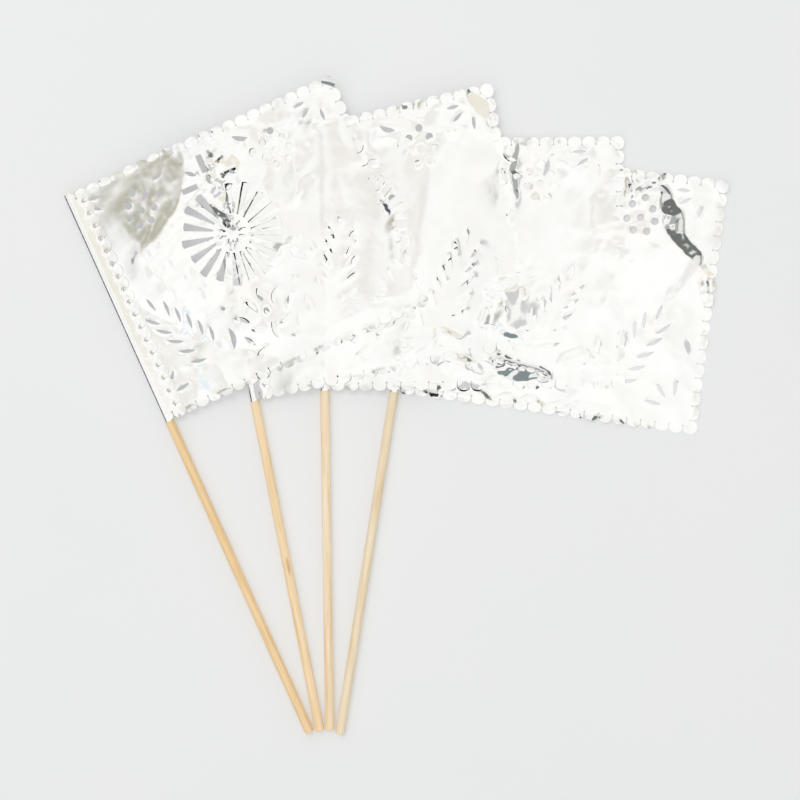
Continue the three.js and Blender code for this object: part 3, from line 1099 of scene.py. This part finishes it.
class FOILFLAGS_OT_stage(bpy.types.Operator):
    """Set the table, the soft light and the camera"""

    bl_idname = "foilflags.stage"
    bl_label = "Set the stage"

    def execute(self, context):
        deselect()
        bpy.ops.mesh.primitive_plane_add(size=12.0, location=(0, 0, 0))
        table = context.object
        table.name = "table"
        give(table, glowing_pale_table())
        self.light(context)
        self.camera(context)
        context.scene.view_settings.view_transform = "Standard"
        return {"FINISHED"}

    def light(self, context):
        world = bpy.data.worlds.new("white_tent")
        context.scene.world = world
        world.use_nodes = True
        tree = world.node_tree
        tree.nodes.clear()
        way = add_node(tree, "ShaderNodeTexCoord").outputs["Generated"]
        height = add_node(tree, "ShaderNodeSeparateXYZ", links={"Vector": way}).outputs["Z"]
        tent = add_node(
            tree,
            "ShaderNodeValToRGB",
            links={"Fac": height},
            stops=((0.0, "4C4F55"), (0.1, "6B6E72"), (0.22, "E2E3E4"), (1.0, "FCFCFB")),
        )
        cloud = add_node(tree, "ShaderNodeTexNoise", {"Scale": 3.2, "Detail": 1.0}, {"Vector": way})
        shade = add_node(
            tree,
            "ShaderNodeValToRGB",
            links={"Fac": cloud.outputs["Fac"]},
            stops=((0.3, "EFEDEA"), (0.5, "FAFAF9"), (0.65, "FFFFFF")),
        )
        colour = add_node(
            tree,
            "ShaderNodeMix",
            {MIX_SHARE: 1.0},
            {MIX_FIRST: tent.outputs["Color"], MIX_SECOND: shade.outputs["Color"]},
            data_type="RGBA",
            blend_type="MULTIPLY",
        )
        for centre, size, inner, panel in PANELS:
            colour = add_node(
                tree,
                "ShaderNodeMix",
                {MIX_SECOND: linear(panel)},
                {MIX_SHARE: spot(tree, way, centre, size, inner), MIX_FIRST: colour.outputs[MIXED]},
                data_type="RGBA",
            )
        # the tent as the foil and the wood see it, and a plain pale wall behind the table
        tent_light = add_node(
            tree,
            "ShaderNodeBackground",
            {"Strength": 1.14},
            {"Color": colour.outputs[MIXED]},
        )
        wall = add_node(tree, "ShaderNodeBackground", {"Color": linear("E9EAEB"), "Strength": 1.0})
        seen = add_node(tree, "ShaderNodeLightPath")
        both = add_node(
            tree,
            "ShaderNodeMixShader",
            links={
                "Fac": seen.outputs["Is Camera Ray"],
                1: tent_light.outputs[0],
                2: wall.outputs[0],
            },
        )
        add_node(tree, "ShaderNodeOutputWorld", links={"Surface": both.outputs[0]})
        lamp = bpy.data.lights.new("softbox", "AREA")
        lamp.shape = "DISK"
        lamp.size = 0.9
        lamp.energy = 6.0
        softbox = bpy.data.objects.new("softbox", lamp)
        softbox.location = (-0.55, 0.6, 1.5)
        softbox.rotation_euler = Vector(softbox.location).to_track_quat("Z", "Y").to_euler()
        softbox.visible_glossy = False
        context.scene.collection.objects.link(softbox)

    def camera(self, context):
        settings = context.scene.foil_flags
        data = bpy.data.cameras.new("camera")
        data.sensor_width = 36
        data.lens = 85
        camera = bpy.data.objects.new("camera", data)
        camera.location = (*settings.camera_offset, settings.camera_height)
        context.scene.collection.objects.link(camera)
        context.scene.camera = camera


class FOILFLAGS_PT_panel(bpy.types.Panel):
    """The flags' pieces and sizes"""

    bl_label = "Foil flags"
    bl_idname = "FOILFLAGS_PT_panel"
    bl_space_type = "VIEW_3D"
    bl_region_type = "UI"
    bl_category = "Foil flags"

    def draw(self, context):
        settings = context.scene.foil_flags
        for name in FoilFlagSettings.__annotations__:
            self.layout.prop(settings, name)
        for operator in OPERATORS:
            self.layout.operator(operator.bl_idname)


OPERATORS = (FOILFLAGS_OT_sticks, FOILFLAGS_OT_tape, FOILFLAGS_OT_sheets, FOILFLAGS_OT_stage)
CLASSES = (FoilFlagSettings, *OPERATORS, FOILFLAGS_PT_panel)


def register():
    for cls in CLASSES:
        bpy.utils.register_class(cls)
    bpy.types.Scene.foil_flags = PointerProperty(type=FoilFlagSettings)


def unregister():
    del bpy.types.Scene.foil_flags
    for cls in reversed(CLASSES):
        bpy.utils.unregister_class(cls)


def main():
    register()
    for operator in OPERATORS:
        group, name = operator.bl_idname.split(".")
        getattr(getattr(bpy.ops, group), name)()


if __name__ == "__main__":
    main()
